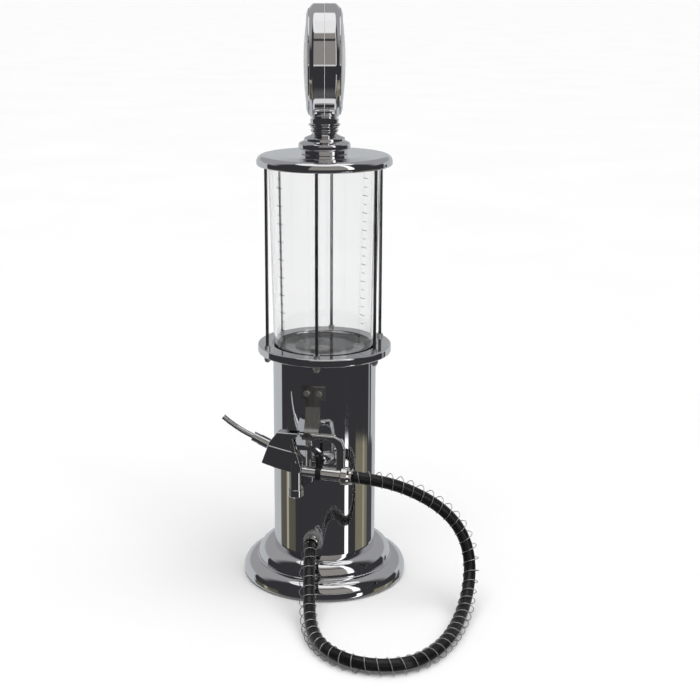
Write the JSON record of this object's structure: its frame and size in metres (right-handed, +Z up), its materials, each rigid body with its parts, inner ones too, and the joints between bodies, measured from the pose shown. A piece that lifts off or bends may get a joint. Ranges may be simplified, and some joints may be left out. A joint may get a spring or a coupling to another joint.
{
  "type": "drinks dispenser",
  "caption": "Counter-top drinks dispenser shaped like an old fuel pump: clear reservoir on a chrome column, sign globe, hose and trigger nozzle",
  "frame": {"origin": "middle of the base's underside, on the column's axis", "axes": "+Z up along the column; the nozzle, its hanger and the hose gland are on the -Y side"},
  "size_m": [0.2197, 0.26, 0.5],
  "materials": {
    "mirror_chrome": "polished mirror chrome plate",
    "globe_chrome": "polished chrome plate on die-cast shells",
    "sign_enamel": "plain cream enamel",
    "black_rubber": "moulded rubber",
    "ballast_iron": "as cast",
    "black_plastic": "moulded black plastic",
    "screw_steel": "plated steel",
    "rod_steel": "dark bright steel",
    "clear_acrylic": "clear moulded acrylic",
    "hanger_steel": "polished strip steel",
    "gland_grey": "grey plastic",
    "ferrule_chrome": "polished chrome plate",
    "hose_rubber": "smooth black hose",
    "spring_wire": "bright spring wire",
    "nozzle_chrome": "chrome plated die casting",
    "fitting_brass": "turned brass",
    "white_plastic": "food-safe moulded plastic",
    "clear_tube": "silicone tube"
  },
  "bodies": {
    "stand": {"ballast_weight": "ballast_iron", "base_plate": "black_plastic", "base_screws": "screw_steel", "base_shell": "mirror_chrome", "column_foot_ring": "black_plastic", "column_head_ring": "black_plastic", "column_tube": "mirror_chrome", "deck_flange": "mirror_chrome", "deck_screws": "screw_steel", "filler_bush": "black_plastic", "foot_ring": "black_rubber", "gland_nut": "gland_grey", "hanger_bracket": "hanger_steel", "hanger_screws": "screw_steel", "hose_gland": "gland_grey", "hose_spring": "spring_wire", "inner_tube": "clear_tube", "lid": "mirror_chrome", "lower_ferrule": "ferrule_chrome", "outlet_fitting": "white_plastic", "outlet_nut": "white_plastic", "reservoir": "clear_acrylic", "reservoir_lower_gasket": "black_rubber", "reservoir_upper_gasket": "black_rubber", "rod_collars": "screw_steel", "rod_nuts": "screw_steel", "supply_hose": "hose_rubber", "tie_rod_1": "rod_steel", "tie_rod_2": "rod_steel", "tie_rod_3": "rod_steel", "tie_rod_4": "rod_steel", "tie_rod_5": "rod_steel", "tie_rod_6": "rod_steel", "tube_clips": "white_plastic"},
    "filler_cap": {"filler_plug": "black_plastic", "plug_seal": "black_rubber", "cap_base": "globe_chrome", "neck_screw": "screw_steel"},
    "globe": {"finial_neck": "globe_chrome", "globe_shell_right": "globe_chrome", "globe_shell_left": "globe_chrome", "globe_bezel_right": "globe_chrome", "globe_bezel_left": "globe_chrome", "globe_face_right": "sign_enamel", "globe_face_left": "sign_enamel"},
    "nozzle": {"nozzle_body": "nozzle_chrome", "valve_cap": "nozzle_chrome", "valve_spring": "spring_wire", "trigger_guard": "nozzle_chrome", "handle_tube": "nozzle_chrome", "handle_sleeve": "nozzle_chrome", "hose_nut": "ferrule_chrome", "hose_barb": "fitting_brass", "spout_collar": "nozzle_chrome", "spout": "nozzle_chrome", "trigger_bracket": "black_plastic", "trigger_pin": "screw_steel"},
    "trigger": {"trigger": "nozzle_chrome"},
    "valve": {"valve_stem": "fitting_brass"}
  },
  "joints": [
    {"name": "filler_cap_lift", "type": "slide", "parent": "stand", "child": "filler_cap", "axis": [0, 0, 1], "range_m": [0, 0.03]},
    {"name": "globe_turn", "type": "hinge", "parent": "filler_cap", "child": "globe", "pos_m": [0, 0, 0.3803], "axis": [0, 0, 1], "continuous": true},
    {"name": "nozzle_lift", "type": "slide", "parent": "stand", "child": "nozzle", "axis": [0, 0, 1], "range_m": [0, 0.006], "deforming": ["supply_hose", "hose_spring"]},
    {"name": "trigger_pull", "type": "hinge", "parent": "nozzle", "child": "trigger", "pos_m": [0.0086, -0.062, 0.131], "axis": [0, -1, 0], "range_deg": [0, 8], "stiffness_Nm_per_rad": 0.05, "springref_deg": -5.73},
    {"name": "valve_slide", "type": "slide", "parent": "nozzle", "child": "valve", "axis": [0, 0, -1], "range_m": [0, 0.0031], "deforming": ["valve_spring"]}
  ],
  "couplings": [
    {"joint": "valve_slide", "follows": "trigger_pull", "m_per_rad": 0.0198}
  ]
}
